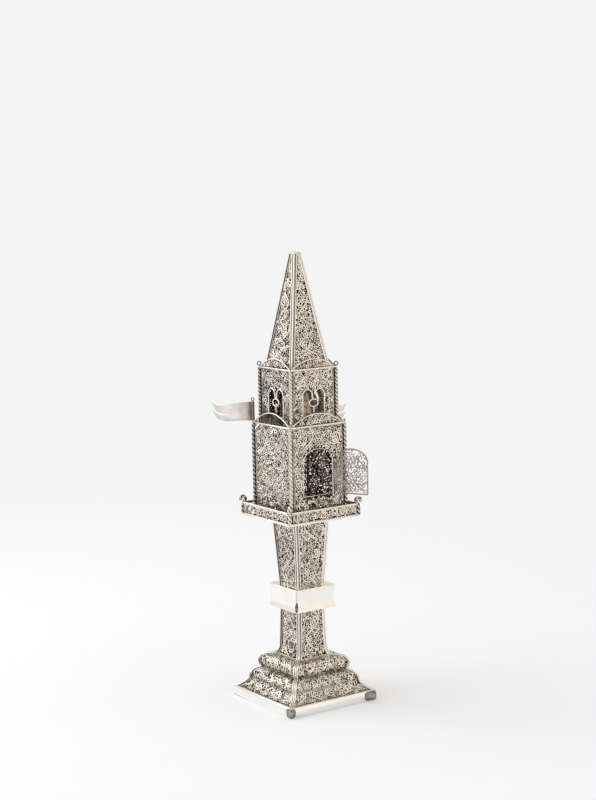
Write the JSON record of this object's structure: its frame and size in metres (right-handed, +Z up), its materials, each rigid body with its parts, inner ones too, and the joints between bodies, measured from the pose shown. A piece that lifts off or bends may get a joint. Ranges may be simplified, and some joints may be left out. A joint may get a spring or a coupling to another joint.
{
  "type": "filigree spice tower",
  "caption": "Square silver filigree spice box as a tower: moulded foot, knopped stem, railed gallery, hinged arched door to the spice chamber, bell chamber, spire and turning pennants.",
  "frame": {"origin": "centre of the foot's underside, on the tower's axis", "axes": "+Z up along the tower's axis, -Y out of the door, +X to the right when facing the door"},
  "size_m": [0.0682, 0.0631, 0.2308],
  "materials": {
    "filigree": "silver scrollwork, toned in the recesses",
    "polished": "polished silver sheet",
    "wire": "drawn and twisted silver wire",
    "dull": "toned silver sheet"
  },
  "bodies": {
    "tower": {"base_corner_wires": "wire", "base_panel_back": "filigree", "base_panel_front": "filigree", "base_panel_left": "filigree", "base_panel_right": "filigree", "bell_chamber_columns": "wire", "bell_chamber_crests": "filigree", "bell_chamber_wall_back": "filigree", "bell_chamber_wall_front": "filigree", "bell_chamber_wall_left": "filigree", "bell_chamber_wall_right": "filigree", "bell_staple": "dull", "chamber_columns": "wire", "chamber_crests": "filigree", "chamber_wall_back": "filigree", "chamber_wall_front": "filigree", "chamber_wall_left": "filigree", "chamber_wall_right": "filigree", "door_catch": "wire", "doorway_frame": "wire", "foot_rim": "polished", "gallery_fence_back": "filigree", "gallery_fence_front": "filigree", "gallery_fence_left": "filigree", "gallery_fence_right": "filigree", "gallery_floor": "dull", "gallery_posts": "wire", "hinge_knuckles": "wire", "hinge_pin": "wire", "knop_band": "polished", "knop_inner_plate": "dull", "knop_skirt": "polished", "knop_top_plate": "polished", "lower_stem_corner_wires": "wire", "lower_stem_panel_back": "filigree", "lower_stem_panel_front": "filigree", "lower_stem_panel_left": "filigree", "lower_stem_panel_right": "filigree", "pennant_poles": "wire", "roof_finials": "wire", "roof_plate": "dull", "spire_cap": "polished", "spire_corner_wires": "wire", "spire_panel_back": "filigree", "spire_panel_front": "filigree", "spire_panel_left": "filigree", "spire_panel_right": "filigree", "tier_floor": "dull", "upper_stem_corner_wires": "wire", "upper_stem_panel_back": "filigree", "upper_stem_panel_front": "filigree", "upper_stem_panel_left": "filigree", "upper_stem_panel_right": "filigree", "window_tracery": "wire"},
    "door": {"door_leaf": "filigree", "door_pull": "wire"},
    "bell": {"bell": "dull"},
    "clapper": {"clapper": "dull"},
    "pennant_left": {"pennant_left": "polished"},
    "pennant_back": {"pennant_back": "polished"}
  },
  "joints": [
    {"name": "door_hinge", "type": "hinge", "parent": "tower", "child": "door", "pos_m": [0.00975, -0.0174, 0.1175], "axis": [0, 0, 1], "range_deg": [-118, 40]},
    {"name": "bell_swing", "type": "hinge", "parent": "tower", "child": "bell", "pos_m": [0, 0, 0.168], "axis": [1, 0, 0], "range_deg": [-7, 7]},
    {"name": "clapper_swing", "type": "hinge", "parent": "bell", "child": "clapper", "pos_m": [0, 0, 0.1625], "axis": [1, 0, 0], "range_deg": [-26, 26]},
    {"name": "pennant_left_turn", "type": "hinge", "parent": "tower", "child": "pennant_left", "pos_m": [-0.01675, 0.01675, 0.15], "axis": [0, 0, 1], "range_deg": [-120, 90]},
    {"name": "pennant_back_turn", "type": "hinge", "parent": "tower", "child": "pennant_back", "pos_m": [0.01675, 0.01675, 0.15], "axis": [0, 0, 1], "range_deg": [-30, 180]}
  ]
}
